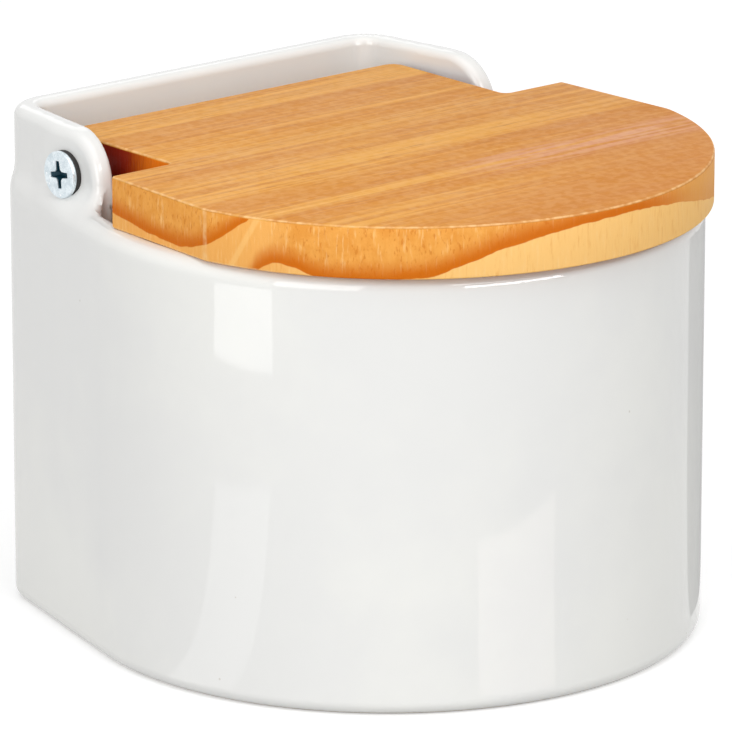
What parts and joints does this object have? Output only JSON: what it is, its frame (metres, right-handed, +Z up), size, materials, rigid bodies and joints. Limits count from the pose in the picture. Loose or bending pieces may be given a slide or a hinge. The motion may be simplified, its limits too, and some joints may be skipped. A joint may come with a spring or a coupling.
{
  "type": "salt box with hinged lid",
  "caption": "Glazed ceramic salt box, round in front and flat at the back, with a pine lid that swings up on a screw through each raised ear.",
  "frame": {"origin": "on the flat base, on the upright axis of the round front", "axes": "+X left to right as seen from the front, -Y towards the round front, +Z up"},
  "size_m": [0.12, 0.1234, 0.0976],
  "materials": {
    "glazed_ceramic": "glossy white glaze",
    "pine": "sanded, lightly oiled",
    "zinc_steel": "zinc plated",
    "black_rubber": "matt"
  },
  "bodies": {
    "body": {"ceramic_body": "glazed_ceramic"},
    "lid": {"lid": "pine", "hinge_screw_left": "zinc_steel", "hinge_screw_right": "zinc_steel", "washer_left": "black_rubber", "washer_right": "black_rubber"}
  },
  "joints": [
    {"name": "lid_hinge", "type": "hinge", "parent": "body", "child": "lid", "pos_m": [0, 0.0352, 0.089], "axis": [-1, 0, 0], "range_deg": [0, 140]}
  ]
}
